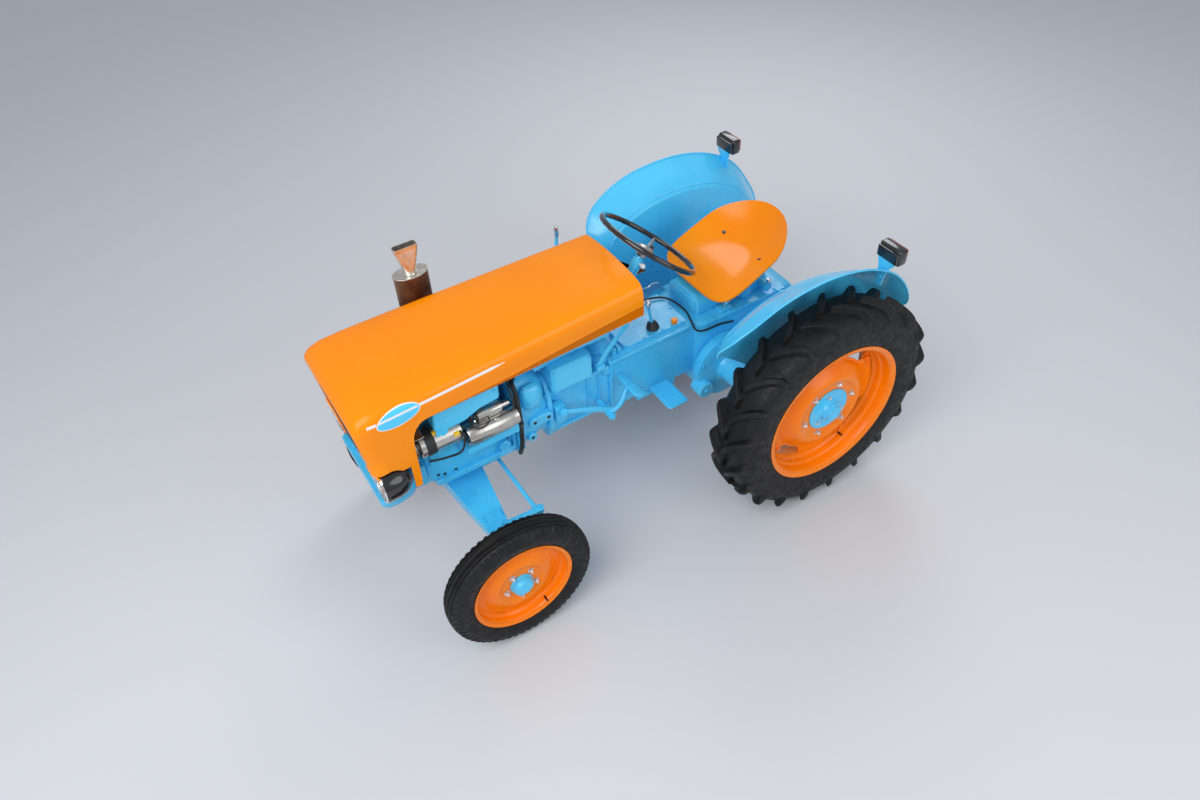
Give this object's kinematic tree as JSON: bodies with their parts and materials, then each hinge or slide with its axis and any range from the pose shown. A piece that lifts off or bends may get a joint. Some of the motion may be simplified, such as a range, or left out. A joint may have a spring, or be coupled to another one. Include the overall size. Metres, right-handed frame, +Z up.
{
  "type": "small vintage two-wheel-drive farm tractor",
  "caption": "Compact open farm tractor with a long tilting hood, lugged rear tyres under flared fenders, ribbed front tyres, a pan seat and a side exhaust.",
  "frame": {"origin": "middle of the overall box, on the ground plane under the tyres", "axes": "+Z up, front of the tractor towards -Y, driver's left towards +X"},
  "size_m": [1.304, 2.296, 1.318],
  "materials": {
    "orange_paint": "gloss enamel",
    "blue_paint": "gloss enamel over castings",
    "wheel_paint": "gloss enamel",
    "seat_paint": "gloss enamel",
    "tyre_rubber": "matt",
    "black_gloss": "gloss black",
    "bare_steel": "plated, lightly worn",
    "exhaust_steel": "heat-stained brown",
    "cable_rubber": "satin",
    "white_paint": "gloss",
    "bright_chrome": "polished",
    "lamp_glass": "clear",
    "red_lens": "gloss"
  },
  "bodies": {
    "chassis": {"engine_block": "blue_paint", "cylinder_shroud": "blue_paint", "bell_housing": "blue_paint", "gearbox_housing": "blue_paint", "rear_housing": "blue_paint", "lift_housing": "blue_paint", "axle_casing_left": "blue_paint", "axle_casing_right": "blue_paint", "front_axle_beam": "blue_paint", "front_support": "blue_paint", "steering_column": "blue_paint", "seat_bracket": "blue_paint", "fender_left": "blue_paint", "fender_right": "blue_paint", "foot_plate_left": "blue_paint", "foot_plate_right": "blue_paint", "clutch_pedal": "blue_paint", "brake_pedal": "blue_paint", "side_tank": "blue_paint", "fuel_tank": "blue_paint", "tow_hitch": "blue_paint", "seat": "seat_paint", "tail_lamp_left": "black_gloss", "tail_lamp_right": "black_gloss", "starter_motor": "bare_steel", "dynamo": "bare_steel", "gear_lever": "bare_steel", "exhaust_muffler": "exhaust_steel", "wiring_loom": "cable_rubber"},
    "hood": {"hood": "orange_paint", "grille": "black_gloss", "headlight_left": "black_gloss", "headlight_right": "black_gloss"},
    "rear_wheel_left": {"rear_tyre_left": "tyre_rubber", "rear_rim_left": "wheel_paint"},
    "rear_wheel_right": {"rear_tyre_right": "tyre_rubber", "rear_rim_right": "wheel_paint"},
    "knuckle_left": {"knuckle_left": "blue_paint"},
    "knuckle_right": {"knuckle_right": "blue_paint"},
    "front_wheel_left": {"front_tyre_left": "tyre_rubber", "front_rim_left": "wheel_paint"},
    "front_wheel_right": {"front_tyre_right": "tyre_rubber", "front_rim_right": "wheel_paint"},
    "centre_arm": {"centre_arm": "blue_paint"},
    "tie_rod_left": {"tie_rod_left": "blue_paint"},
    "tie_rod_right": {"tie_rod_right": "blue_paint"},
    "steering_wheel": {"steering_wheel": "black_gloss"}
  },
  "joints": [
    {"name": "rear_wheel_left_spin", "type": "hinge", "parent": "chassis", "child": "rear_wheel_left", "pos_m": [0.546, 0.642, 0.506], "axis": [1, 0, 0], "continuous": true},
    {"name": "rear_wheel_right_spin", "type": "hinge", "parent": "chassis", "child": "rear_wheel_right", "pos_m": [-0.546, 0.642, 0.506], "axis": [1, 0, 0], "continuous": true},
    {"name": "left_knuckle_steer", "type": "hinge", "parent": "chassis", "child": "knuckle_left", "pos_m": [0.4, -0.763, 0.3], "axis": [0, 0, 1], "range_deg": [-35, 35]},
    {"name": "right_knuckle_steer", "type": "hinge", "parent": "chassis", "child": "knuckle_right", "pos_m": [-0.4, -0.763, 0.3], "axis": [0, 0, 1], "range_deg": [-35.5, 35.5]},
    {"name": "front_wheel_left_spin", "type": "hinge", "parent": "knuckle_left", "child": "front_wheel_left", "pos_m": [0.494, -0.763, 0.3], "axis": [1, 0, 0], "continuous": true},
    {"name": "front_wheel_right_spin", "type": "hinge", "parent": "knuckle_right", "child": "front_wheel_right", "pos_m": [-0.494, -0.763, 0.3], "axis": [1, 0, 0], "continuous": true},
    {"name": "centre_arm_turn", "type": "hinge", "parent": "chassis", "child": "centre_arm", "pos_m": [0, -0.763, 0.44], "axis": [0, 0, 1], "range_deg": [-35.5, 35.5]},
    {"name": "tie_rod_left_swing", "type": "hinge", "parent": "centre_arm", "child": "tie_rod_left", "pos_m": [0, -0.598, 0.47], "axis": [0, 0, 1], "range_deg": [-35.5, 35.5]},
    {"name": "tie_rod_right_swing", "type": "hinge", "parent": "centre_arm", "child": "tie_rod_right", "pos_m": [0, -0.598, 0.47], "axis": [0, 0, 1], "range_deg": [-35.5, 35.5]},
    {"name": "steering_wheel_turn", "type": "hinge", "parent": "chassis", "child": "steering_wheel", "pos_m": [0, 0.166, 1.167], "axis": [0, 0.6293, 0.7771], "range_deg": [-425, 425]},
    {"name": "hood_tilt", "type": "hinge", "parent": "chassis", "child": "hood", "pos_m": [0, -1.08, 0.718], "axis": [1, 0, 0], "range_deg": [0, 55]}
  ],
  "couplings": [
    {"joint": "right_knuckle_steer", "follows": "left_knuckle_steer", "ratio": 1},
    {"joint": "centre_arm_turn", "follows": "left_knuckle_steer", "ratio": 1},
    {"joint": "tie_rod_left_swing", "follows": "left_knuckle_steer", "ratio": -1},
    {"joint": "tie_rod_right_swing", "follows": "left_knuckle_steer", "ratio": -1},
    {"joint": "steering_wheel_turn", "follows": "left_knuckle_steer", "ratio": 12}
  ]
}
